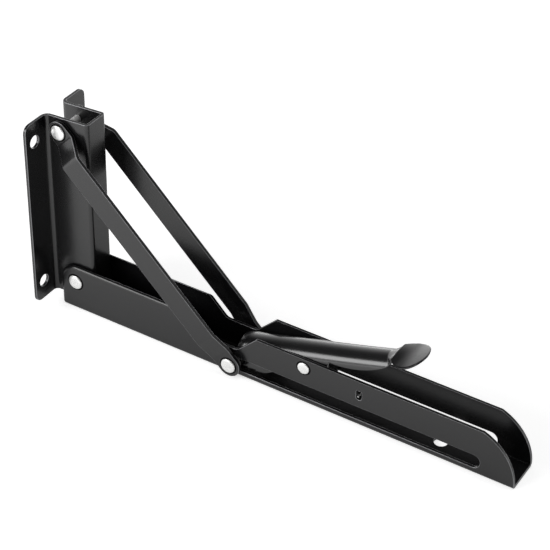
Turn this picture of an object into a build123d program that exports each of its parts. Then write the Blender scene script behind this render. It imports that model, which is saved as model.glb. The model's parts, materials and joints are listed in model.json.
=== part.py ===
from build123d import *
import math
import os

# Folding shelf bracket, standing on the shelf face of its arm.
# X runs out from the wall, Z is square to the shelf face, Y runs along the wall.
# It is drawn from where the wall plane, the shelf face and the mid-plane meet, and saved
# with the origin moved out along the shelf face to the middle of the whole length.

# ---- sheet and fits ----
sheet = 2.5                 # plate and arm
lever_sheet = 1.8
pin_fit = 0.05              # radial play of a rivet in its hole
side_fit = 0.1              # play beside a washer
roll_fit = 0.3              # radial play of a roller in its slot

# ---- wall plate ----
plate_width = 72.6
plate_height = 161.2
plate_bottom = 9.1
plate_corner_r = 6.5
plate_hole_r = 5.1
plate_hole_dy = 52.0
plate_hole_dz = 128.0
plate_hole_mid_z = 89.5
plate_rise = 0.058          # the cut ends rise this much for each millimetre out from the wall
hat_width = 23.0
hat_front = 40.8
hat_bend_r = 0.6            # inside radius of the two front bends
foot_bend_r = 3.5           # inside radius where the hat meets the flanges

# ---- arm ----
arm_width = 31.0
arm_height = 40.9
arm_bend_r = 0.6
arm_past_slot = 27.7034     # beyond the slot's end; the arm then reaches 406 out from the wall
arm_tip_low = 2.0           # height of the centre of the free end's round
arm_tip_over = 2.6          # how far that round would reach above the arm
arm_heel_r = 2.0
swing_clear = 0.8           # between the plate's lower corner and the arm's floor as it swings
notch_start = 131.3
notch_end = 191.2
notch_floor = 24.6
notch_r = 6.0
slot_width = 11.6
slot_z = 11.6
shelf_hole_r = 5.1
shelf_hole_first = 90.6
shelf_hole_pitch = 250.0
spring_hole_x = 279.6
spring_hole_z = 28.8
spring_hole_length = 9.0
spring_hole_width = 4.6

# ---- arm pivot, brace pivot and slot pin ----
arm_pivot_x = 25.2
arm_pivot_z = 26.6
brace_pivot_x = 16.0
brace_pivot_z = 160.4
slot_pin_x = 171.0
rivet_r = 3.0
rivet_head_r = 6.5
rivet_head_h = 2.5
washer_r = 8.0

# ---- braces ----
brace_sheet = 3.0
brace_half_width = 9.6
brace_top_r = 9.0
brace_top_in = 12.2         # inner faces: at the wall pivot, along the middle, at the pin
brace_mid_in = 21.5
brace_low_in = 18.2
top_seat_end = 8.8
top_joggle_end = 23.6
low_joggle_start = 189.0
low_joggle_end = 204.0
joggle_bend_r = 6.0

# ---- release lever ----
lever_half_width = 12.2
lever_arch_h = 10.5
lever_start_back = 3.4      # how far the back reaches over the pin, past the nose's face
lever_ridge_z = 27.0        # ridge height above the lever's inner end
lever_slope = 17.8          # degrees
root_start_x = 291.3        # where the crown turns up to the thumb pad
root_sink = 0.15            # it starts this much below the lever's back
root_end_x = 299.5
root_slope = 24.0           # degrees
root_arch_h = 14.0
lever_pivot_x = 232.8
lever_pivot_z = 33.2
lever_rivet_r = 2.6
lever_head_r = 5.1
lever_head_h = 2.0
lever_sleeve_wall = 1.4
sleeve_end_gap = 0.6
nose_clear = 0.5            # between the nose and the pin roller
nose_floor = 8.8
nose_end_x = 196.0
nose_top_z = 20.0           # lower edge of the inner end, above the nose
nose_step = 2.0
nose_ramp_x = 209.5
flank_low_z = 17.4          # lower edge of the flanks, clear of the pin that slides below
flank_low_x = 248.0
flank_low_r = 3.0
hem_start = (252.8, 44.5)   # curved lower edge of the lever where it stands out of the arm
hem_middle = (279.2, 49.9)
hem_end = (299.9, 62.1)
paddle_x = 311.0
paddle_z = 70.1
paddle_rx = 13.8
paddle_ry = 16.5
paddle_tilt = 16.6
paddle_dish_r = 58.0

# ---- lever spring ----
wire_r = 0.7
wire_sides = 6              # the round wire is drawn with flats to keep it light
spring_turns = 2
spring_gap = 0.35
coil_space = 0.45           # between the turns
wire_bend_r = 2.0
hook_out = 0.9              # how far the hook stands out of the arm's wall
spring_leg_tip_x = 260.8
spring_tip_drop = 1.4       # from the crown of the arch to the wire, beside the middle

# ---- derived places ----
arm_tip_r = arm_height - arm_tip_low + arm_tip_over
hat_half = hat_width / 2
arm_half = arm_width / 2
arm_in = arm_half - sheet
roller_r = slot_width / 2 - roll_fit
nose_x = slot_pin_x + roller_r + nose_clear
lever_start_x = nose_x - lever_start_back
slot_start = slot_pin_x - slot_width / 2
brace_run = math.hypot(slot_pin_x - brace_pivot_x, slot_z - brace_pivot_z)
brace_drop = math.degrees(math.atan2(slot_z - brace_pivot_z, slot_pin_x - brace_pivot_x))
pin_offset = arm_pivot_z - slot_z
folded_dx = arm_pivot_x + pin_offset - brace_pivot_x
folded_reach = brace_pivot_z - arm_pivot_z + math.sqrt(brace_run ** 2 - folded_dx ** 2)
slot_end = arm_pivot_x + folded_reach + slot_width / 2
arm_reach = slot_end + arm_past_slot


def across(shape, low, high):
    """A shape drawn in X and Z, thickened from y = low to y = high."""
    return extrude(Plane.XZ.offset(-low) * shape, amount=-(high - low))


def near(value, target):
    return abs(value - target) < 0.01


def bar(x, z, radius, low, high):
    return across(Pos(x, z) * Circle(radius), low, high)


def keep(name, shape):
    solids = shape.solids()
    assert len(solids) == 1, name + " is not one solid"
    solid = Pos(-arm_reach / 2, 0, 0) * solids[0]
    solid.label = name
    export_step(solid, "parts/" + name + ".step")


def rivet(x, z, radius, half_grip, head_r, head_h):
    """A rivet through both sides of the bracket, domed at both ends."""
    shank = bar(x, z, radius, -half_grip, half_grip)
    profile = Polyline((0, 0), (head_r, 0), (head_r, 0.5 * head_h), (0.72 * head_r, head_h), (0, head_h),
                       close=True)
    head = revolve(make_face(profile), Axis.Y)
    far_head = Pos(x, half_grip, z) * head
    near_head = Pos(x, -half_grip, z) * (Rot(180, 0, 0) * head)
    return shank + far_head + near_head


# ---- wall plate: one sheet bent to a hat ----
hat_out = Pos(hat_front / 2, 0) * Rectangle(hat_front, hat_width)
hat_out = fillet(hat_out.vertices().group_by(Axis.X)[-1], hat_bend_r + sheet)
foot = Pos(sheet / 2, 0) * Rectangle(sheet, plate_width)
outline = hat_out + foot
inner_corners = [v for v in outline.vertices() if near(v.X, sheet) and near(abs(v.Y), hat_half)]
outline = fillet(inner_corners, foot_bend_r)
mouth = 2.0 * foot_bend_r
hollow_depth = hat_front - sheet + mouth
hollow = Pos(hollow_depth / 2 - mouth, 0) * Rectangle(hollow_depth, hat_width - 2 * sheet)
hollow = fillet(hollow.vertices().group_by(Axis.X)[-1], hat_bend_r)
section = outline - hollow
lips = [v for v in section.vertices() if near(v.X, 0) and near(abs(v.Y), hat_half - sheet)]
section = fillet(lips, foot_bend_r + sheet)
plate_top = plate_bottom + plate_height
front_rise = plate_rise * hat_front
trim = Polyline((0, plate_bottom), (hat_front, plate_bottom + front_rise),
                (hat_front, plate_top + front_rise), (0, plate_top), close=True)
plate = extrude(section, amount=plate_top + front_rise + sheet) & across(make_face(trim), -plate_width, plate_width)
side_edges = [e for e in plate.edges() if near(abs(e.center().Y), plate_width / 2)]
corners = [e for e in side_edges if e.length < 2 * sheet]
plate = fillet(corners, plate_corner_r)
for dy in (-1, 1):
    for dz in (-1, 1):
        place = Pos(0, dy * plate_hole_dy / 2, plate_hole_mid_z + dz * plate_hole_dz / 2)
        plate -= place * Rot(0, 90, 0) * Cylinder(plate_hole_r, 4 * sheet)
for x, z in ((arm_pivot_x, arm_pivot_z), (brace_pivot_x, brace_pivot_z)):
    plate -= bar(x, z, rivet_r + pin_fit, -hat_width, hat_width)
swing_r = arm_pivot_z - sheet - swing_clear
swing = Pos(arm_pivot_x + hat_front, arm_pivot_z - hat_front) * Rectangle(2 * hat_front, 2 * hat_front)
swing = across(swing, -hat_width, hat_width)
swing -= bar(arm_pivot_x, arm_pivot_z, swing_r, -hat_width, hat_width)
plate -= swing

# ---- arm: a channel open towards the braces ----
tip_top_x = arm_reach - arm_tip_r + math.sqrt(arm_tip_r ** 2 - (arm_height - arm_tip_low) ** 2)
tip_low_x = arm_reach - arm_tip_r + math.sqrt(arm_tip_r ** 2 - arm_tip_low ** 2)
heel_r = arm_height - arm_pivot_z
heel_x = arm_pivot_x - heel_r
rise = arm_height - notch_floor
side = Polyline((heel_x, 0), (tip_low_x, 0), (tip_low_x, arm_height), (notch_end, arm_height),
                (notch_end - rise, notch_floor), (notch_start + rise, notch_floor),
                (notch_start, arm_height), (heel_x, arm_height), close=True)
side = make_face(side)
side = fillet([v for v in side.vertices() if near(v.Y, notch_floor)], notch_r)
side = fillet([v for v in side.vertices() if near(v.X, heel_x) and near(v.Y, arm_height)], heel_r - 0.01)
side = fillet([v for v in side.vertices() if near(v.X, heel_x) and near(v.Y, 0)], arm_heel_r)
tip_block = Pos(arm_reach, arm_height / 2) * Rectangle(2 * arm_tip_r, arm_height)
tip_round = Pos(arm_reach - arm_tip_r, arm_tip_low) * Circle(arm_tip_r)
side = side - (tip_block - tip_round)
blank = across(side, -arm_half, arm_half)
long_edges = [e for e in blank.edges().filter_by(Axis.X) if near(e.center().Z, 0)]
blank = fillet(long_edges, arm_bend_r + sheet)
core_length = 2 * arm_reach
core = Pos(arm_reach / 2, 0, sheet + arm_height / 2) * Box(core_length, 2 * arm_in, arm_height)
core_edges = [e for e in core.edges().filter_by(Axis.X) if near(e.center().Z, sheet)]
core = fillet(core_edges, arm_bend_r)
arm = blank - core
slot_length = slot_end - slot_start + 2 * roll_fit
slot = Pos((slot_start + slot_end) / 2, slot_z) * SlotOverall(slot_length, slot_width)
arm -= across(slot, -arm_half - 1, arm_half + 1)
arm -= bar(arm_pivot_x, arm_pivot_z, rivet_r + pin_fit, -arm_half - 1, arm_half + 1)
arm -= bar(lever_pivot_x, lever_pivot_z, lever_rivet_r + pin_fit, -arm_half - 1, arm_half + 1)
for n in range(2):
    arm -= Pos(shelf_hole_first + n * shelf_hole_pitch, 0, 0) * Cylinder(shelf_hole_r, 4 * sheet)
spring_hole = Rot(0, 0, 90) * SlotOverall(spring_hole_length, spring_hole_width)
arm -= across(Pos(spring_hole_x, spring_hole_z) * spring_hole, -arm_half - 1, -arm_in + 1)

# ---- braces: flat strips, joggled out past the rivet heads ----
half_sheet = brace_sheet / 2
strip_end = 2 * brace_half_width
strip_line = FilletPolyline((-strip_end, brace_top_in + half_sheet), (top_seat_end, brace_top_in + half_sheet),
                            (top_joggle_end, brace_mid_in + half_sheet),
                            (low_joggle_start, brace_mid_in + half_sheet),
                            (low_joggle_end, brace_low_in + half_sheet),
                            (brace_run + strip_end, brace_low_in + half_sheet), radius=joggle_bend_r)
strip = extrude(trace(strip_line, line_width=brace_sheet), amount=2 * brace_half_width, both=True)
body = Polyline((0, brace_top_r), (top_joggle_end, brace_half_width), (brace_run, brace_half_width),
                (brace_run, -brace_half_width), (top_joggle_end, -brace_half_width), (0, -brace_top_r),
                close=True)
body = make_face(body)
body = body + Circle(brace_top_r) + Pos(brace_run, 0) * Circle(brace_half_width)
body -= Circle(rivet_r + pin_fit)
body -= Pos(brace_run, 0) * Circle(rivet_r + pin_fit)
blank = extrude(body, amount=2 * brace_mid_in, both=True)
brace_flat = strip & (Rot(-90, 0, 0) * blank)
place = Pos(brace_pivot_x, 0, brace_pivot_z) * Rot(0, -brace_drop, 0)
brace_far = place * brace_flat
brace_near = mirror(brace_far, Plane.XZ)

# ---- pivots on the wall plate ----
arm_rivet = rivet(arm_pivot_x, arm_pivot_z, rivet_r, arm_half, rivet_head_r, rivet_head_h)
brace_grip = brace_top_in + brace_sheet
brace_rivet = rivet(brace_pivot_x, brace_pivot_z, rivet_r, brace_grip, rivet_head_r, rivet_head_h)


def washer(x, z, bore, radius, low, high):
    return bar(x, z, radius, low, high) - bar(x, z, bore, low - 1, high + 1)


bore_r = rivet_r + pin_fit
arm_washer = washer(arm_pivot_x, arm_pivot_z, bore_r, washer_r, hat_half, arm_in - side_fit)
brace_washer = washer(brace_pivot_x, brace_pivot_z, bore_r, washer_r, hat_half, brace_top_in - side_fit)

# ---- slot pin: a rivet stub and a shouldered roller on each side ----
cap = rivet(slot_pin_x, slot_z, rivet_r, brace_low_in + brace_sheet, rivet_head_r, rivet_head_h)
cap = cap & across(Pos(slot_pin_x, slot_z) * Circle(2 * rivet_head_r), brace_low_in, 2 * brace_mid_in)
roller = bar(slot_pin_x, slot_z, roller_r, arm_in, arm_half + side_fit)
roller += bar(slot_pin_x, slot_z, washer_r, arm_half + side_fit, brace_low_in - side_fit)

# ---- release lever: an arched channel with a dished thumb pad ----
slope = math.tan(math.radians(lever_slope))
lever_depth = 2 * arm_height        # more than the lever stands high


def arch(half, height, crown, incline, length):
    """A bar with an arched top, run up the given incline."""
    top = EllipticalCenterArc((0, crown - height), half, height, start_angle=0, arc_size=180)
    foot = crown - lever_depth
    sides = Polyline((-half, crown - height), (-half, foot), (half, foot), (half, crown - height))
    face = Plane.YZ * make_face(Wire([*top.edges(), *sides.edges()]))
    run = Vector(math.cos(math.radians(incline)), 0, math.sin(math.radians(incline)))
    return extrude(face, amount=length / run.X, dir=run)


def arched_bar(skin, end):
    """The lever's back from its inner end to x = end, taken this far in from the outer surface."""
    half = lever_half_width - skin
    back = arch(half, lever_arch_h - skin, lever_ridge_z - skin, lever_slope, end - lever_start_x)
    crown = lever_ridge_z + slope * (root_start_x - lever_start_x) - root_sink - skin
    root = arch(half, root_arch_h - skin, crown, root_slope, end - root_start_x)
    return Pos(lever_start_x, 0, 0) * back + Pos(root_start_x, 0, 0) * root


shell = arched_bar(0, root_end_x) - arched_bar(lever_sheet, root_end_x + 1)
flank_end_x = root_end_x + 1
nose_line = Polyline((flank_end_x, lever_depth), (lever_start_x, lever_depth), (lever_start_x, nose_top_z),
                     (nose_x, nose_top_z - nose_step), (nose_x, nose_floor), (nose_end_x, nose_floor),
                     (nose_ramp_x, flank_low_z), (flank_low_x, flank_low_z), hem_start)
hem = ThreePointArc(hem_start, hem_middle, hem_end)
hem_out = Polyline(hem_end, (flank_end_x, hem_end[1]), (flank_end_x, lever_depth))
flank = make_face(Wire([*nose_line.edges(), *hem.edges(), *hem_out.edges()]))
flank = fillet([v for v in flank.vertices() if near(v.X, flank_low_x)], flank_low_r)
body = shell & across(flank, -arm_half, arm_half)
tilt = Pos(paddle_x, 0, paddle_z) * Rot(0, -paddle_tilt, 0)
dish = Pos(0, 0, paddle_dish_r) * (Sphere(paddle_dish_r) - Sphere(paddle_dish_r - lever_sheet))
rim_drop = paddle_dish_r - math.sqrt(paddle_dish_r ** 2 - paddle_ry ** 2)
pad_blank = extrude(Ellipse(paddle_rx, paddle_ry), amount=10, both=True)
pad = tilt * (Pos(0, 0, -rim_drop) * dish & pad_blank)
lever = body + pad
lever -= bar(lever_pivot_x, lever_pivot_z, lever_rivet_r + pin_fit, -20, 20)

# ---- lever rivet, sleeve, washers and spring ----
lever_rivet = rivet(lever_pivot_x, lever_pivot_z, lever_rivet_r, arm_half, lever_head_r, lever_head_h)
lever_in = lever_half_width - lever_sheet
lever_bore_r = lever_rivet_r + pin_fit
sleeve_r = lever_bore_r + lever_sleeve_wall
sleeve_half = lever_in - sleeve_end_gap
sleeve = washer(lever_pivot_x, lever_pivot_z, lever_bore_r, sleeve_r, -sleeve_half, sleeve_half)
lever_washer_r = lever_head_r + 1
washer_in = lever_half_width + side_fit
lever_washer = washer(lever_pivot_x, lever_pivot_z, lever_bore_r, lever_washer_r, washer_in, arm_in)

coil_r = sleeve_r + spring_gap + wire_r
tip_ridge = lever_ridge_z + slope * (spring_leg_tip_x - lever_start_x)
tip_z = tip_ridge - lever_sheet / math.cos(math.radians(lever_slope)) - wire_r - spring_tip_drop
tip_dx = spring_leg_tip_x - lever_pivot_x
tip_dz = tip_z - lever_pivot_z
leave = math.degrees(math.atan2(tip_dz, tip_dx) + math.acos(coil_r / math.hypot(tip_dx, tip_dz)))
turn = 2 * wire_r + coil_space
half_turns = 2 * spring_turns + 1
coil_low = -half_turns * turn / 4
hook_z = lever_pivot_z - coil_r


def half_turn(n):
    """Half a turn of the coil: up on the wall's side, then down on the other."""
    rising = 1 if n % 2 == 0 else -1
    y = coil_low + n * turn / 2
    bulge = math.hypot(coil_r, turn / 4)
    return ThreePointArc((lever_pivot_x, y, lever_pivot_z - rising * coil_r),
                         (lever_pivot_x - rising * bulge, y + turn / 4, lever_pivot_z),
                         (lever_pivot_x, y + turn / 2, lever_pivot_z + rising * coil_r))


last = half_turn(half_turns - 1)
share = (270 - leave) / 180
last = ThreePointArc(last @ 0, last @ (share / 2), last @ share)
heading = last % 1
push_end = last @ 1 + heading * ((spring_leg_tip_x - (last @ 1).X) / heading.X)
hook_tip = (spring_hole_x, -arm_half - hook_out, hook_z)
hook_bend = Line(hook_tip, (spring_hole_x, coil_low - wire_bend_r, hook_z))
hook_arc = RadiusArc(hook_bend @ 1, (spring_hole_x - wire_bend_r, coil_low, hook_z), -wire_bend_r)
runs = [hook_bend, hook_arc, Line(hook_arc @ 1, (lever_pivot_x, coil_low, hook_z))]
runs += [half_turn(n) for n in range(half_turns - 1)]
runs += [last, Line(last @ 1, push_end)]
path = Wire([e for run in runs for e in run.edges()])
spring = sweep(Plane(origin=path @ 0, z_dir=path % 0) * RegularPolygon(wire_r, wire_sides), path=path)

os.makedirs("parts", exist_ok=True)
keep("wall_plate", plate)
keep("arm_channel", arm)
keep("brace_far", brace_far)
keep("brace_near", brace_near)
keep("arm_pivot_rivet", arm_rivet)
keep("brace_pivot_rivet", brace_rivet)
keep("arm_pivot_washer_far", arm_washer)
keep("arm_pivot_washer_near", mirror(arm_washer, Plane.XZ))
keep("brace_pivot_washer_far", brace_washer)
keep("brace_pivot_washer_near", mirror(brace_washer, Plane.XZ))
keep("slot_pin_head_far", cap)
keep("slot_pin_head_near", mirror(cap, Plane.XZ))
keep("slot_roller_far", roller)
keep("slot_roller_near", mirror(roller, Plane.XZ))
keep("release_lever", lever)
keep("lever_rivet", lever_rivet)
keep("lever_sleeve", sleeve)
keep("lever_spring", spring)
keep("lever_washer_far", lever_washer)
keep("lever_washer_near", mirror(lever_washer, Plane.XZ))
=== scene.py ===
import bmesh
import bpy
import json
import math
from mathutils import Matrix, Vector


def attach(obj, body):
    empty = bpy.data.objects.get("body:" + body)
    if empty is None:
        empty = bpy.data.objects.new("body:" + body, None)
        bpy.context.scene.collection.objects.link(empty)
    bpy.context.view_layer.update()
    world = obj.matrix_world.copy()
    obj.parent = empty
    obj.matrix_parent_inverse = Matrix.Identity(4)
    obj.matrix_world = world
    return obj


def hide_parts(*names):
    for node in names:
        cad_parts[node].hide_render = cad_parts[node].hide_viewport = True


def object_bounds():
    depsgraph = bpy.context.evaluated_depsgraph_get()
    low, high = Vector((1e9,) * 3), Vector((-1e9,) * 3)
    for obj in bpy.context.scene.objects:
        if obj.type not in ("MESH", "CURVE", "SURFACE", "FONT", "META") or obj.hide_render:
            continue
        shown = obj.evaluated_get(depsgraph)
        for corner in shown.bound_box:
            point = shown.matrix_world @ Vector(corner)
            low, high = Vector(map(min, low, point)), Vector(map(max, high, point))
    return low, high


mm = 0.001

print("frame: loading")
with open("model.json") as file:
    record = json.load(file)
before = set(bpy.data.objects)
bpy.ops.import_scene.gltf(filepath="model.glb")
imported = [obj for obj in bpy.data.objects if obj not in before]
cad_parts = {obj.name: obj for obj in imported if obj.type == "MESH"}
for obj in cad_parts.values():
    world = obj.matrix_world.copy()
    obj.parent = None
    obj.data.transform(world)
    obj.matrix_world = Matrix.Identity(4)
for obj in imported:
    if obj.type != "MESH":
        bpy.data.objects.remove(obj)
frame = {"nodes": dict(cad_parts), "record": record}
cadLow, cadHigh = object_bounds()
nodes = frame["nodes"]


def newGroup(name, inputs, outputs):
    group = bpy.data.node_groups.new(name, "ShaderNodeTree")
    for label, kind, value in inputs:
        socket = group.interface.new_socket(label, in_out="INPUT", socket_type=kind)
        socket.default_value = value
    for label, kind in outputs:
        group.interface.new_socket(label, in_out="OUTPUT", socket_type=kind)
    return group, group.nodes.new("NodeGroupInput"), group.nodes.new("NodeGroupOutput")


def link(tree, source, target):
    tree.links.new(source, target)


def addNode(tree, kind, inputs=None, **settings):
    # a node with its settings made, and each input set to a number or linked to a socket
    node = tree.nodes.new(kind)
    for name, value in settings.items():
        setattr(node, name, value)
    for label, value in (inputs or {}).items():
        if isinstance(value, bpy.types.NodeSocket):
            link(tree, value, node.inputs[label])
        else:
            node.inputs[label].default_value = value
    return node


def mathNode(tree, operation, *values):
    return addNode(tree, "ShaderNodeMath", dict(enumerate(values)), operation=operation).outputs["Value"]


def vectorOf(tree, x, y, z):
    return addNode(tree, "ShaderNodeCombineXYZ", {"X": x, "Y": y, "Z": z}).outputs["Vector"]


def objectPlace(tree):
    return addNode(tree, "ShaderNodeTexCoord").outputs["Object"]


def varied(group, amount, colour, low, high):
    # a colour made a little darker and lighter from place to place
    value = addNode(group, "ShaderNodeMapRange", {"To Min": low, "To Max": high, "Value": amount})
    tint = addNode(group, "ShaderNodeHueSaturation", {"Value": value.outputs["Result"], "Color": colour})
    return tint.outputs["Color"]


print("finishes: powder coat and plated steel")
skinOutputs = [("Height", "NodeSocketFloat"), ("Roughness", "NodeSocketFloat"), ("Colour", "NodeSocketColor")]
coatSkin = {"grainDetail": 3, "driftScale": 28, "driftDetail": 4, "speckScale": 350.0, "speckFrom": 0.05,
            "speckTo": 0.16, "speckHeight": 0.35, "glossDrift": 0.10, "darker": 0.75, "lighter": 1.25}
steelSkin = {"stretch": (1.0, 0.15, 1.0), "grainDetail": 4, "blotchScale": 160, "glossDrift": 0.12,
             "darker": 0.88, "lighter": 1.08}


def buildCoatGroup():
    # a fine orange peel, slow drifts of gloss and a few specks
    inputs = [("Grain Scale", "NodeSocketFloat", 900.0), ("Speck Scale", "NodeSocketFloat", coatSkin["speckScale"]),
              ("Base Roughness", "NodeSocketFloat", 0.35), ("Colour", "NodeSocketColor", (0.02, 0.02, 0.02, 1))]
    group, given, made = newGroup("powderCoatSkin", inputs, skinOutputs)
    place = objectPlace(group)
    peel = addNode(group, "ShaderNodeTexNoise", {"Detail": coatSkin["grainDetail"], "Vector": place,
                                                 "Scale": given.outputs["Grain Scale"]}).outputs["Fac"]
    drift = addNode(group, "ShaderNodeTexNoise", {"Detail": coatSkin["driftDetail"], "Vector": place,
                                                  "Scale": coatSkin["driftScale"]}).outputs["Fac"]
    speck = addNode(group, "ShaderNodeTexVoronoi", {"Vector": place, "Scale": given.outputs["Speck Scale"]})
    mask = addNode(group, "ShaderNodeMapRange", {"From Min": coatSkin["speckFrom"], "From Max": coatSkin["speckTo"],
                                                 "To Min": 1.0, "To Max": 0.0, "Value": speck.outputs["Distance"]})
    height = mathNode(group, "MULTIPLY_ADD", mask.outputs["Result"], coatSkin["speckHeight"], peel)
    gloss = mathNode(group, "MULTIPLY_ADD", drift, coatSkin["glossDrift"], given.outputs["Base Roughness"])
    link(group, height, made.inputs["Height"])
    link(group, gloss, made.inputs["Roughness"])
    link(group, varied(group, drift, given.outputs["Colour"], coatSkin["darker"], coatSkin["lighter"]),
         made.inputs["Colour"])
    return group


def buildSteelGroup():
    # fine scratches one way and soft blotches
    inputs = [("Grain Scale", "NodeSocketFloat", 700.0), ("Base Roughness", "NodeSocketFloat", 0.2),
              ("Colour", "NodeSocketColor", (0.8, 0.8, 0.79, 1))]
    group, given, made = newGroup("platedSteelSkin", inputs, skinOutputs)
    place = objectPlace(group)
    stretch = addNode(group, "ShaderNodeMapping", {"Scale": steelSkin["stretch"], "Vector": place})
    scratch = addNode(group, "ShaderNodeTexNoise", {"Detail": steelSkin["grainDetail"],
                                                    "Vector": stretch.outputs["Vector"],
                                                    "Scale": given.outputs["Grain Scale"]}).outputs["Fac"]
    blotch = addNode(group, "ShaderNodeTexNoise", {"Scale": steelSkin["blotchScale"], "Vector": place}).outputs["Fac"]
    gloss = mathNode(group, "MULTIPLY_ADD", blotch, steelSkin["glossDrift"], given.outputs["Base Roughness"])
    link(group, scratch, made.inputs["Height"])
    link(group, gloss, made.inputs["Roughness"])
    link(group, varied(group, blotch, given.outputs["Colour"], steelSkin["darker"], steelSkin["lighter"]),
         made.inputs["Colour"])
    return group


coatGroup = buildCoatGroup()
steelGroup = buildSteelGroup()


coatLook = {"colour": (0.006, 0.006, 0.0065, 1), "roughness": 0.2, "metallic": 0.0, "shine": 0.5,
            "grain": 1100.0, "bump": 0.05, "depth": 0.2 * mm}
leverLook = {"colour": (0.006, 0.006, 0.0065, 1), "roughness": 0.16, "metallic": 0.0, "shine": 0.68,
             "grain": 600.0, "bump": 0.03, "depth": 0.2 * mm}
# lighter, part-metallic finish for the broken sheet edges: a painted highlight that brightens the edge lines
edgeHighlightLook = {"colour": (0.2, 0.2, 0.208, 1), "roughness": 0.3, "metallic": 0.7, "shine": 0.5,
            "grain": 1100.0, "bump": 0.03, "depth": 0.2 * mm}
# near-black matte finish for the collars round the rivet heads: painted shade
paintedShadeLook = {"colour": (0.003, 0.003, 0.003, 1), "roughness": 0.6, "metallic": 0.0, "shine": 0.05,
              "grain": 1100.0, "bump": 0.05, "depth": 0.2 * mm}
headLook = {"colour": (0.93, 0.93, 0.92, 1), "roughness": 0.22, "metallic": 0.5, "shine": 0.5,
            "grain": 700.0, "bump": 0.02, "depth": 0.05 * mm}
plainLook = {"colour": (0.5, 0.5, 0.49, 1), "roughness": 0.3, "metallic": 1.0, "shine": 0.5,
             "grain": 700.0, "bump": 0.06, "depth": 0.05 * mm}


def finish(name, group, look):
    material = bpy.data.materials.new(name)
    material.use_nodes = True
    tree = material.node_tree
    shader = tree.nodes["Principled BSDF"]
    skin = addNode(tree, "ShaderNodeGroup", {"Grain Scale": look["grain"], "Base Roughness": look["roughness"],
                                             "Colour": look["colour"]}, node_tree=group)
    bump = addNode(tree, "ShaderNodeBump", {"Strength": look["bump"], "Distance": look["depth"],
                                            "Height": skin.outputs["Height"]})
    link(tree, bump.outputs["Normal"], shader.inputs["Normal"])
    link(tree, skin.outputs["Roughness"], shader.inputs["Roughness"])
    link(tree, skin.outputs["Colour"], shader.inputs["Base Color"])
    shader.inputs["Metallic"].default_value = look["metallic"]
    shader.inputs["Specular IOR Level"].default_value = look["shine"]
    return material


blackCoat = finish("blackPowderCoat", coatGroup, coatLook)
leverCoat = finish("blackLeverCoat", coatGroup, leverLook)
edgeHighlightCoat = finish("paintedEdgeHighlight", coatGroup, edgeHighlightLook)
paintedShadeCoat = finish("paintedShadeRing", coatGroup, paintedShadeLook)
headSteel = finish("brightRivetSteel", steelGroup, headLook)
plainSteel = finish("plainZincSteel", steelGroup, plainLook)


def bodyOf(node):
    for name, members in frame["record"]["behaviour"]["bodies"].items():
        if node in members:
            return name


def smoothed(piece, sharpAngle):
    for face in piece.data.polygons:
        face.use_smooth = True
    piece.data.set_sharp_from_angle(angle=math.radians(sharpAngle))


def bakeModifiers(piece):
    graph = bpy.context.evaluated_depsgraph_get()
    baked = bpy.data.meshes.new_from_object(piece.evaluated_get(graph))
    piece.modifiers.clear()
    piece.data = baked


print("sheet metal: breaking the edges")
sheetLook = {"plateEdge": 0.42 * mm, "armEdge": 0.42 * mm, "braceEdge": 0.4 * mm, "smallEdge": 0.15 * mm,
             "segments": 3, "edgeAngle": 30, "flatAngle": 0.6, "sharpAngle": 35, "weld": 0.002 * mm}


def roundedCopy(node, name, width, material):
    # the same form with its sheared edges broken, as the coat leaves them
    mesh = nodes[node].data.copy()
    mesh.name = name
    shell = bmesh.new()
    shell.from_mesh(mesh)
    bmesh.ops.remove_doubles(shell, verts=shell.verts, dist=sheetLook["weld"])
    flatAngle = math.radians(sheetLook["flatAngle"])
    bmesh.ops.dissolve_limit(shell, angle_limit=flatAngle, verts=shell.verts, edges=shell.edges)
    shell.to_mesh(mesh)
    shell.free()
    mesh.materials.clear()
    mesh.materials.append(material)
    piece = bpy.data.objects.new(name, mesh)
    bpy.context.scene.collection.objects.link(piece)
    if width:
        bevel = piece.modifiers.new("broken edges", "BEVEL")
        bevel.width = width
        bevel.segments = sheetLook["segments"]
        bevel.limit_method = "ANGLE"
        bevel.angle_limit = math.radians(sheetLook["edgeAngle"])
        bevel.use_clamp_overlap = False  # clamping would thin the edges away beside the small bends
        # on the black coat the bevels take the lighter edge finish, a painted highlight along every broken edge
        if material == blackCoat:
            mesh.materials.append(edgeHighlightCoat)
            bevel.material = 1
    bpy.context.view_layer.update()
    bakeModifiers(piece)
    smoothed(piece, sheetLook["sharpAngle"])
    weighted = piece.modifiers.new("even normals", "WEIGHTED_NORMAL")
    weighted.keep_sharp = True
    bakeModifiers(piece)
    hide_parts(node)
    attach(piece, bodyOf(node))
    return piece


roundedCopy("wall_plate", "wallPlate", sheetLook["plateEdge"], blackCoat)
roundedCopy("arm_channel", "armChannel", sheetLook["armEdge"], blackCoat)
roundedCopy("brace_near", "braceNear", sheetLook["braceEdge"], blackCoat)
roundedCopy("brace_far", "braceFar", sheetLook["braceEdge"], blackCoat)


def dressed(piece, body, slotName, *stoodFor):
    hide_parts(*stoodFor)
    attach(piece, body)
    return piece


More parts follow.
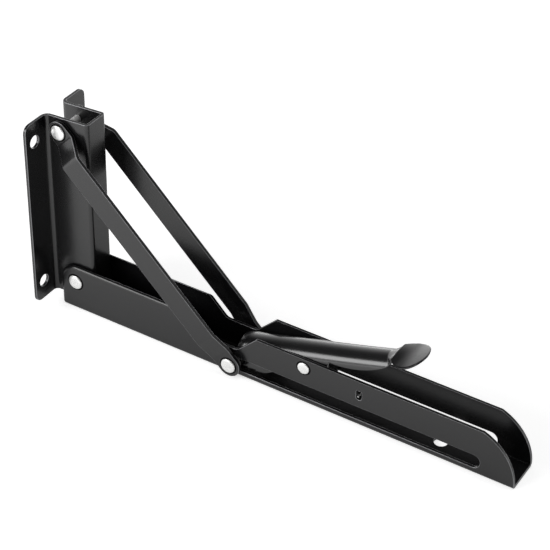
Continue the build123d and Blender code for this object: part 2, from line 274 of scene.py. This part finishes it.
print("release lever: pressing the sheet")
leverShape = {"start": 172.2, "capLength": 2.4, "capDrop": 1.0, "halfWidth": 12.2, "archHeight": 10.5,
              "crownAtStart": 27.0, "crownFrom": 173.6, "slope": 17.8,
              "liftFrom": 262.0, "lift": 0.03, "liftSoftness": 0.6,
              "creaseEase": 288.5, "creaseX": 294.4, "creaseSweep": 3.4, "creaseReach": 9.0, "creaseGap": 0.5,
              "neckEnd": 300.5, "neckHalf": 10.2, "neckSlope": 0.24, "neckBend": 0.015, "neckSoftness": 2.0,
              "padX": 311.0, "padZ": 70.1, "padRx": 13.8, "padRy": 16.5, "padTilt": 16.6, "padDrop": 0.4,
              "padBlend": 1.5, "hollowFrom": -9.0, "hollowTo": 7.0,
              "tipX": 310.0, "tipSlope": 0.13, "tipBend": 0.007, "rimWidth": 1.1, "rimDrop": 0.35,
              "noseX": 177.0, "noseEndX": 196.0, "noseZ": 8.8, "innerEdgeZ": 19.0,
              "rampX": 209.5, "flankZ": 17.4, "flankEndX": 247.0,
              "hemStart": (251.5, 44.6), "hemMiddle": (279.2, 49.9), "hemEnd": (299.9, 62.1),
              "thickness": 1.8, "edge": 0.3, "deepest": 26.0}
leverGrid = {"over": 44, "down": 12, "cap": 8, "capKept": 5, "noseStep": 0.02, "step": 1.2, "fineStep": 0.4,
             "crease": 8, "neck": 16, "pad": 20, "tip": 32, "weld": 0.01 * mm, "sliver": 0.005 * mm,
             "edgeSegments": 2, "edgeAngle": 50, "sharpAngle": 40}


def circleThrough(a, b, c):
    # centre and radius of the circle through three points of a side view
    d = 2 * (a[0] * (b[1] - c[1]) + b[0] * (c[1] - a[1]) + c[0] * (a[1] - b[1]))
    sa, sb, sc = (p[0] ** 2 + p[1] ** 2 for p in (a, b, c))
    x = (sa * (b[1] - c[1]) + sb * (c[1] - a[1]) + sc * (a[1] - b[1])) / d
    z = (sa * (c[0] - b[0]) + sb * (a[0] - c[0]) + sc * (b[0] - a[0])) / d
    return x, z, math.hypot(a[0] - x, a[1] - z)


def ramp(value, low, high):
    return min(1.0, max(0.0, (value - low) / (high - low)))


def eased(value):
    return value * value * (3 - 2 * value)


def softMax(a, b, reach):
    # the larger of two heights, with the crease between them rounded off
    blend = max(reach - abs(a - b), 0.0) / reach
    return max(a, b) + blend * blend * reach / 4


def leverLowerEdge(x):
    shape = leverShape
    if x < shape["noseX"]:
        return shape["innerEdgeZ"]
    if x <= shape["noseEndX"]:
        return shape["noseZ"]
    if x < shape["rampX"]:
        return shape["noseZ"] + (shape["flankZ"] - shape["noseZ"]) * ramp(x, shape["noseEndX"], shape["rampX"])
    if x < shape["flankEndX"]:
        return shape["flankZ"]
    hemX, hemZ = shape["hemStart"]
    if x < hemX:
        return shape["flankZ"] + (hemZ - shape["flankZ"]) * ramp(x, shape["flankEndX"], hemX)
    cx, cz, r = circleThrough(shape["hemStart"], shape["hemMiddle"], shape["hemEnd"])
    return cz - math.sqrt(r * r - (x - cx) ** 2)


def leverBack(x, y):
    # height of the arched back
    shape = leverShape
    bulge = math.sqrt(max(0.0, 1 - (y / shape["halfWidth"]) ** 2))
    crown = shape["crownAtStart"] + math.tan(math.radians(shape["slope"])) * (x - shape["crownFrom"])
    crown += softMax(0, shape["lift"] * (shape["liftFrom"] - x), shape["liftSoftness"])
    fromEnd = 1 - ramp(x, shape["start"], shape["start"] + shape["capLength"])
    crown -= shape["capDrop"] * (1 - math.sqrt(max(0.0, 1 - fromEnd ** 2)))
    return crown - shape["archHeight"] * (1 - bulge)


def backSection(x):
    # from the near lower edge over the crown to the far one; lines above the edge keep their places
    half, low = leverShape["halfWidth"], leverLowerEdge(x)
    spring = leverBack(x, half)
    over, down = leverGrid["over"], leverGrid["down"]
    arc = [(-half * math.cos(math.pi * n / over), 0) for n in range(over + 1)]
    arc = [(y, leverBack(x, y)) for y, z in arc]
    drop = leverShape["deepest"] / down
    near = [(-half, spring - drop * n) for n in range(down, 0, -1)]
    outline = near + arc + [(-y, z) for y, z in reversed(near)]
    if low <= spring:
        return [(y, max(z, low)) for y, z in outline]
    edge = max(n for n in range(over // 2 + 1) if arc[n][1] <= low)
    (ya, za), (yb, zb) = arc[edge], arc[edge + 1]
    cut = ya + (yb - ya) * (low - za) / (zb - za)
    return [(y, z) if z > low else (math.copysign(cut, y), low) for y, z in outline]


def padHalf(x):
    # half width of the thumb pad, eased into the width of the neck
    shape = leverShape
    along = (x - shape["padX"]) / math.cos(math.radians(shape["padTilt"]))
    rounded = shape["padRy"] * math.sqrt(max(0.0001, 1 - (along / shape["padRx"]) ** 2))
    return softMax(shape["neckHalf"], rounded, shape["neckSoftness"]) if along < 0 else rounded


def padHeight(x, y):
    # hollow along the lever, crowned across it at the neck and dished at the tip, with the rim rolled down
    shape = leverShape
    tilt = math.radians(shape["padTilt"])
    along = (x - shape["padX"]) / math.cos(tilt)
    toTip = eased(ramp(x, shape["neckEnd"], shape["tipX"]))
    bend = shape["neckBend"] + (shape["tipBend"] - shape["neckBend"]) * toTip
    length = shape["hollowTo"] - shape["hollowFrom"]
    turn = ramp(along, shape["hollowFrom"], shape["hollowTo"])
    turned = length * (turn ** 3 - turn ** 4 / 2) + max(0, along - shape["hollowTo"])
    rise = (shape["neckSlope"] + shape["tipSlope"]) * turned - shape["neckSlope"] * along
    rise -= shape["padDrop"] + y ** 2 * bend / 2
    inside = 1 - math.sqrt((along / shape["padRx"]) ** 2 + (y / shape["padRy"]) ** 2)
    nearRim = 1 - ramp(inside * shape["padRx"], 0, shape["rimWidth"])
    rise -= shape["rimDrop"] * nearRim ** 2 * ramp(x, shape["neckEnd"], shape["padX"])
    return shape["padZ"] + along * math.sin(tilt) + rise * math.cos(tilt)


def leverStations():
    shape, grid = leverShape, leverGrid
    quarter = math.pi / 2
    stations = [shape["start"] + shape["capLength"] * (1 - math.cos(quarter * n / grid["cap"]))
                for n in range(grid["capKept"])]
    stations += [shape["noseX"] - grid["noseStep"], shape["noseX"]]
    x = shape["noseX"]
    while x < shape["creaseEase"]:
        x += grid["fineStep"] if shape["flankEndX"] - 1 < x < shape["hemStart"][0] else grid["step"]
        stations.append(x)
    for low, high, count in ((x, shape["creaseX"], grid["crease"]), (shape["creaseX"], shape["neckEnd"], grid["neck"]),
                             (shape["neckEnd"], shape["padX"], grid["pad"])):
        stations += [low + (high - low) * n / count for n in range(1, count + 1)]
    reach = shape["padRx"] * math.cos(math.radians(shape["padTilt"]))
    return stations + [shape["padX"] + reach * math.sin(quarter * n / grid["tip"]) for n in range(1, grid["tip"] + 1)]


def leverRow(x):
    # one line of points across the lever; lines near the crease follow its curve
    shape = leverShape
    if x < shape["creaseEase"]:
        return [(x, y, z) for y, z in backSection(x)]
    lead = ramp(x, shape["creaseEase"], shape["creaseX"])
    share = ramp(x, shape["creaseX"], shape["neckEnd"])

    def crease(y):
        swept = shape["creaseX"] + shape["creaseSweep"] * (y / shape["creaseReach"]) ** 2
        return min(swept, shape["neckEnd"] - shape["creaseGap"])

    def bent(y):
        if x > shape["neckEnd"]:
            return x
        if share == 0:
            return x + (crease(y) - shape["creaseX"]) * lead
        return crease(y) + (shape["neckEnd"] - crease(y)) * share

    edgeX = bent(shape["halfWidth"])
    back = backSection(edgeX)
    spread = eased(ramp(x, shape["creaseX"], shape["neckEnd"] + shape["padBlend"]))
    row = []
    for n, (backY, backZ) in enumerate(back):
        y = backY + (padHalf(x) * (2 * n / (len(back) - 1) - 1) - backY) * spread
        if share == 0:
            z = leverBack(bent(y), y)
        elif share < 1:
            z = leverBack(crease(y), y) * (1 - share) + padHeight(shape["neckEnd"], y) * share
        else:
            z = padHeight(x, y)
        row.append((bent(y), y, z - (leverBack(edgeX, backY) - backZ) * (1 - spread)))
    return row


def buildLever():
    grid = leverGrid
    rows = [leverRow(x) for x in leverStations()]
    points = [(cadLow.x + x * mm, y * mm, z * mm) for row in rows for x, y, z in row]
    width = len(rows[0])
    faces = [(r * width + c, (r + 1) * width + c, (r + 1) * width + c + 1, r * width + c + 1)
             for r in range(len(rows) - 1) for c in range(width - 1)]
    mesh = bpy.data.meshes.new("releaseLever")
    mesh.from_pydata(points, [], faces)
    skin = bmesh.new()
    skin.from_mesh(mesh)
    bmesh.ops.remove_doubles(skin, verts=skin.verts, dist=grid["weld"])
    bmesh.ops.dissolve_degenerate(skin, edges=skin.edges, dist=grid["sliver"])
    bmesh.ops.recalc_face_normals(skin, faces=skin.faces)
    if max(skin.faces, key=lambda face: face.calc_center_median().z).normal.z < 0:
        bmesh.ops.reverse_faces(skin, faces=skin.faces)
    skin.to_mesh(mesh)
    skin.free()
    piece = bpy.data.objects.new("releaseLever", mesh)
    bpy.context.scene.collection.objects.link(piece)
    sheet = piece.modifiers.new("sheet", "SOLIDIFY")
    sheet.thickness = leverShape["thickness"] * mm
    sheet.offset = -1
    edge = piece.modifiers.new("edge", "BEVEL")
    edge.width = leverShape["edge"] * mm
    edge.segments = grid["edgeSegments"]
    edge.limit_method = "ANGLE"
    edge.angle_limit = math.radians(grid["edgeAngle"])
    mesh.materials.append(leverCoat)
    bpy.context.view_layer.update()
    bakeModifiers(piece)
    smoothed(piece, grid["sharpAngle"])
    return piece


dressed(buildLever(), "lever", "lever_paint", "release_lever")

print("rivets: Geometry Nodes")
rivetLook = {"crownPower": 0.62, "rings": 28, "segments": 64, "poleGuard": 0.000001, "sharpAngle": 50}
rivetPlaces = {"wall_plate": [{"at": (25.2, 26.6), "grip": 15.5, "shank": 3.0, "head": 6.1, "height": 1.7},
                              {"at": (16.0, 160.4), "grip": 15.2, "shank": 3.0, "head": 6.1, "height": 1.7}],
               "braces": [{"at": (171.0, 11.6), "grip": 21.2, "shank": 3.0, "head": 6.1, "height": 1.7}],
               "arm": [{"at": (232.8, 33.2), "grip": 15.5, "shank": 2.6, "head": 4.9, "height": 1.4}]}
rivetNodes = {"wall_plate": ("arm_pivot_rivet", "brace_pivot_rivet"), "arm": ("lever_rivet",),
              "braces": ("slot_pin_head_near", "slot_pin_head_far")}


def namedValue(tree, name):
    return addNode(tree, "GeometryNodeInputNamedAttribute", {"Name": name}, data_type="FLOAT").outputs["Attribute"]


def buildRivetTree():
    # a point for each rivet becomes a shank and two domed heads across the bracket
    tree = bpy.data.node_groups.new("throughRivets", "GeometryNodeTree")
    tree.interface.new_socket("Geometry", in_out="INPUT", socket_type="NodeSocketGeometry")
    tree.interface.new_socket("Crown Power", in_out="INPUT", socket_type="NodeSocketFloat")
    tree.interface.new_socket("Material", in_out="INPUT", socket_type="NodeSocketMaterial")
    tree.interface.new_socket("Geometry", in_out="OUTPUT", socket_type="NodeSocketGeometry")
    given = tree.nodes.new("NodeGroupInput")
    made = tree.nodes.new("NodeGroupOutput")
    ball = addNode(tree, "GeometryNodeMeshUVSphere", {"Segments": rivetLook["segments"], "Rings": rivetLook["rings"],
                                                      "Radius": 1.0})
    split = addNode(tree, "ShaderNodeSeparateXYZ",
                    {"Vector": addNode(tree, "GeometryNodeInputPosition").outputs["Position"]})
    x, y, z = (split.outputs[axis] for axis in "XYZ")
    power = given.outputs["Crown Power"]
    crown = mathNode(tree, "POWER", mathNode(tree, "MAXIMUM", z, 0.0), power)
    level = mathNode(tree, "SUBTRACT", 1.0, mathNode(tree, "MULTIPLY", z, z))
    radius = mathNode(tree, "SQRT", mathNode(tree, "MAXIMUM", level, rivetLook["poleGuard"]))
    grow = mathNode(tree, "DIVIDE", mathNode(tree, "POWER", radius, power), radius)
    wideX, wideY = (mathNode(tree, "MULTIPLY", side, grow) for side in (x, y))
    dome = addNode(tree, "GeometryNodeSetPosition", {"Geometry": ball.outputs["Mesh"],
                                                     "Position": vectorOf(tree, wideX, wideY, crown)})
    shank = addNode(tree, "GeometryNodeMeshCylinder", {"Vertices": rivetLook["segments"], "Radius": 1.0, "Depth": 2.0})
    grip, head, height, thick = (namedValue(tree, name) for name in ("grip", "head", "height", "shank"))
    joined = tree.nodes.new("GeometryNodeJoinGeometry")
    parts = [(shank.outputs["Mesh"], 0, math.radians(90), vectorOf(tree, thick, thick, grip))]
    for side in (1, -1):
        parts.append((dome.outputs["Geometry"], side, math.radians(-90 * side), vectorOf(tree, head, head, height)))
    for shape, side, turn, size in parts:
        offset = vectorOf(tree, 0.0, mathNode(tree, "MULTIPLY", grip, side), 0.0)
        moved = addNode(tree, "GeometryNodeSetPosition", {"Geometry": given.outputs["Geometry"], "Offset": offset})
        put = addNode(tree, "GeometryNodeInstanceOnPoints", {"Points": moved.outputs["Geometry"], "Instance": shape,
                                                             "Rotation": (turn, 0, 0), "Scale": size})
        link(tree, put.outputs["Instances"], joined.inputs["Geometry"])
    real = addNode(tree, "GeometryNodeRealizeInstances", {"Geometry": joined.outputs["Geometry"]})
    painted = addNode(tree, "GeometryNodeSetMaterial", {"Geometry": real.outputs["Geometry"],
                                                        "Material": given.outputs["Material"]})
    link(tree, painted.outputs["Geometry"], made.inputs["Geometry"])
    return tree


rivetTree = buildRivetTree()


def buildRivets(body):
    places = rivetPlaces[body]
    mesh = bpy.data.meshes.new(body + "RivetPoints")
    mesh.from_pydata([(cadLow.x + p["at"][0] * mm, 0, p["at"][1] * mm) for p in places], [], [])
    for name in ("grip", "shank", "head", "height"):
        values = mesh.attributes.new(name, "FLOAT", "POINT")
        for n, p in enumerate(places):
            values.data[n].value = p[name] * mm
    piece = bpy.data.objects.new(body + "Rivets", mesh)
    bpy.context.scene.collection.objects.link(piece)
    maker = piece.modifiers.new("rivets", "NODES")
    maker.node_group = rivetTree
    sockets = {item.name: item.identifier for item in rivetTree.interface.items_tree if item.in_out == "INPUT"}
    maker[sockets["Crown Power"]] = rivetLook["crownPower"]
    maker[sockets["Material"]] = headSteel
    bpy.context.view_layer.update()
    bakeModifiers(piece)
    smoothed(piece, rivetLook["sharpAngle"])
    return piece


shadeCollarLook = {"inside": 0.5, "outside": 1.2, "height": 0.3, "sunk": 0.1, "segments": 64, "sharpAngle": 30}


def buildShadeCollars(body):
    # a dark matte collar round each head: painted shade standing for the shadowed gap at the head's rim
    rim = bmesh.new()
    segments = shadeCollarLook["segments"]
    for place in rivetPlaces[body]:
        head = place["head"]
        inner, outer = head - shadeCollarLook["inside"], head + shadeCollarLook["outside"]
        height, sunk = shadeCollarLook["height"], shadeCollarLook["sunk"]
        profile = [(inner, sunk), (inner, -height), (head + sunk, -height), (outer, 0.0), (outer, sunk)]
        for side in (1, -1):
            loops = []
            for n in range(segments):
                turn = 2 * math.pi * n / segments
                loops.append([rim.verts.new((cadLow.x + (place["at"][0] + radius * math.cos(turn)) * mm,
                                             side * (place["grip"] - deep) * mm,
                                             (place["at"][1] + radius * math.sin(turn)) * mm))
                              for radius, deep in profile])
            for n in range(segments):
                here, there = loops[n], loops[(n + 1) % segments]
                for k in range(len(profile)):
                    after = (k + 1) % len(profile)
                    rim.faces.new((here[k], there[k], there[after], here[after]))
    bmesh.ops.recalc_face_normals(rim, faces=rim.faces)
    mesh = bpy.data.meshes.new(body + "ShadeCollars")
    rim.to_mesh(mesh)
    rim.free()
    mesh.materials.append(paintedShadeCoat)
    piece = bpy.data.objects.new(body + "ShadeCollars", mesh)
    bpy.context.scene.collection.objects.link(piece)
    smoothed(piece, shadeCollarLook["sharpAngle"])
    return piece


for body in rivetPlaces:
    dressed(buildRivets(body), body, "rivet_steel", *rivetNodes[body])
    shadeCollars = buildShadeCollars(body)
    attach(shadeCollars, body)

print("washers, rollers and spring")
for node in ("arm_pivot_washer_near", "arm_pivot_washer_far", "brace_pivot_washer_near", "brace_pivot_washer_far",
             "slot_roller_near", "slot_roller_far", "lever_sleeve", "lever_washer_near", "lever_washer_far"):
    roundedCopy(node, node + "_dressed", sheetLook["smallEdge"], plainSteel)
roundedCopy("lever_spring", "leverSpring", 0, plainSteel)


print("studio")
studio = {"floorSize": 6.0, "floorDrop": 0.05 * mm, "floorColour": (0.86, 0.86, 0.86, 1),
          "floorLift": 0.62, "floorFadeFrom": 0.6, "floorFadeTo": 2.2,
          "floorGloss": ((0.0, 2.6), (0.3, 1.2), (0.45, 0.7), (0.5, 0.3), (0.56, 0.3), (0.7, 1.1), (0.9, 3.0)),
          "floorGlossReach": 1.0, "skyFill": 0.32, "horizonGlow": 2.8, "upperDark": 0.12, "glowTop": 0.6,
          "facingFrom": -0.9, "facingTo": 0.4, "frontRightShare": 0.2}


def mirroredFloor(tree, place):
    # how bright the floor is in the coat's reflections, from front to back
    curve = tree.nodes.new("ShaderNodeFloatCurve")
    levels = studio["floorGloss"]
    top = max(level for where, level in levels)
    line = curve.mapping.curves[0]
    while len(line.points) < len(levels):
        line.points.new(0.5, 0.5)
    for point, (where, level) in zip(line.points, levels):
        point.location = (where, level / top)
    curve.mapping.update()
    reach = studio["floorGlossReach"]
    split = addNode(tree, "ShaderNodeSeparateXYZ", {"Vector": place})
    across = addNode(tree, "ShaderNodeMapRange", {"From Min": -reach, "From Max": reach, "Value": split.outputs["Y"]})
    link(tree, across.outputs["Result"], curve.inputs["Value"])
    return mathNode(tree, "MULTIPLY", curve.outputs["Value"], top)


def buildFloor():
    half = studio["floorSize"] / 2
    mesh = bpy.data.meshes.new("floor")
    mesh.from_pydata([(-half, -half, 0), (half, -half, 0), (half, half, 0), (-half, half, 0)], [], [(0, 1, 2, 3)])
    floor = bpy.data.objects.new("floor", mesh)
    bpy.context.scene.collection.objects.link(floor)
    floor.location.z = cadLow.z - studio["floorDrop"]
    material = bpy.data.materials.new("paleFloor")
    material.use_nodes = True
    tree = material.node_tree
    tree.nodes.clear()
    rays = tree.nodes.new("ShaderNodeLightPath")
    place = objectPlace(tree)
    away = addNode(tree, "ShaderNodeVectorMath", {0: place}, operation="LENGTH")
    lift = addNode(tree, "ShaderNodeMapRange", {"From Min": studio["floorFadeFrom"], "From Max": studio["floorFadeTo"],
                                                "To Min": studio["floorLift"], "Value": away.outputs["Value"]})
    toEye = mathNode(tree, "MULTIPLY", rays.outputs["Is Camera Ray"], lift.outputs["Result"])
    glow = mathNode(tree, "MULTIPLY_ADD", rays.outputs["Is Glossy Ray"], mirroredFloor(tree, place), toEye)
    matt = addNode(tree, "ShaderNodeBsdfDiffuse", {"Color": studio["floorColour"]})
    lit = addNode(tree, "ShaderNodeEmission", {"Strength": glow})
    both = addNode(tree, "ShaderNodeAddShader", {0: matt.outputs["BSDF"], 1: lit.outputs["Emission"]})
    addNode(tree, "ShaderNodeOutputMaterial", {"Surface": both.outputs["Shader"]})
    mesh.materials.append(material)
    return floor


def buildWorld():
    # a glow near the horizon, behind on the left and weakest in front on the right
    world = bpy.data.worlds.new("studioWorld")
    bpy.context.scene.world = world
    world.use_nodes = True
    tree = world.node_tree
    tree.nodes.clear()
    rays = tree.nodes.new("ShaderNodeLightPath")
    split = addNode(tree, "ShaderNodeSeparateXYZ",
                    {"Vector": addNode(tree, "ShaderNodeTexCoord").outputs["Generated"]})
    x, y, z = (split.outputs[axis] for axis in "XYZ")
    fall = addNode(tree, "ShaderNodeMapRange", {"From Min": 0.0, "From Max": studio["glowTop"], "Value": z,
                                                "To Min": studio["horizonGlow"], "To Max": studio["upperDark"]})
    facing = addNode(tree, "ShaderNodeMapRange", {"From Min": studio["facingFrom"], "From Max": studio["facingTo"],
                                                  "To Min": studio["frontRightShare"],
                                                  "Value": mathNode(tree, "SUBTRACT", y, x)})
    spread = mathNode(tree, "MULTIPLY", fall.outputs["Result"], facing.outputs["Result"])
    fill = addNode(tree, "ShaderNodeBackground", {"Strength": studio["skyFill"]})
    mirrored = addNode(tree, "ShaderNodeBackground", {"Strength": spread})
    white = addNode(tree, "ShaderNodeBackground", {"Color": (1, 1, 1, 1), "Strength": 1.0})
    byGloss = addNode(tree, "ShaderNodeMixShader", {"Fac": rays.outputs["Is Glossy Ray"],
                                                    1: fill.outputs["Background"], 2: mirrored.outputs["Background"]})
    byEye = addNode(tree, "ShaderNodeMixShader", {"Fac": rays.outputs["Is Camera Ray"],
                                                  1: byGloss.outputs["Shader"], 2: white.outputs["Background"]})
    addNode(tree, "ShaderNodeOutputWorld", {"Surface": byEye.outputs["Shader"]})


softboxes = {"frontLeftBox": {"place": (-0.78, -1.04, 0.62), "width": 1.15, "height": 0.55, "power": 12.5},
             "topBox": {"place": (0.1, 0.15, 1.5), "width": 0.6, "height": 0.6, "power": 4}}


def buildSoftbox(name, aim):
    box = softboxes[name]
    lamp = bpy.data.lights.new(name, "AREA")
    lamp.shape = "RECTANGLE"
    lamp.size = box["width"]
    lamp.size_y = box["height"]
    lamp.energy = box["power"]
    holder = bpy.data.objects.new(name, lamp)
    bpy.context.scene.collection.objects.link(holder)
    holder.location = box["place"]
    holder.rotation_euler = (Vector(aim) - Vector(box["place"])).to_track_quat("-Z", "Y").to_euler()


floor = buildFloor()
buildWorld()
for name in softboxes:
    buildSoftbox(name, (cadLow + cadHigh) / 2)


print("camera")
cameraPlace = {"location": (520.5 * mm, -885.5 * mm, 859.4 * mm), "forward": (-0.4101, 0.6900, -0.5964),
               "roll": 1.56, "lens": 115.67, "sensor": 36, "nearest": 0.01, "furthest": 20}


def buildCamera():
    data = bpy.data.cameras.new("camera")
    data.lens = cameraPlace["lens"]
    data.sensor_width = cameraPlace["sensor"]
    data.clip_start = cameraPlace["nearest"]
    data.clip_end = cameraPlace["furthest"]
    camera = bpy.data.objects.new("camera", data)
    bpy.context.scene.collection.objects.link(camera)
    aim = Vector(cameraPlace["forward"]).to_track_quat("-Z", "Y").to_matrix().to_4x4()
    turn = Matrix.Rotation(math.radians(cameraPlace["roll"]), 4, "Z")
    camera.matrix_world = Matrix.Translation(cameraPlace["location"]) @ aim @ turn
    bpy.context.scene.camera = camera


buildCamera()
bpy.context.scene.view_settings.view_transform = "Standard"

print("done")
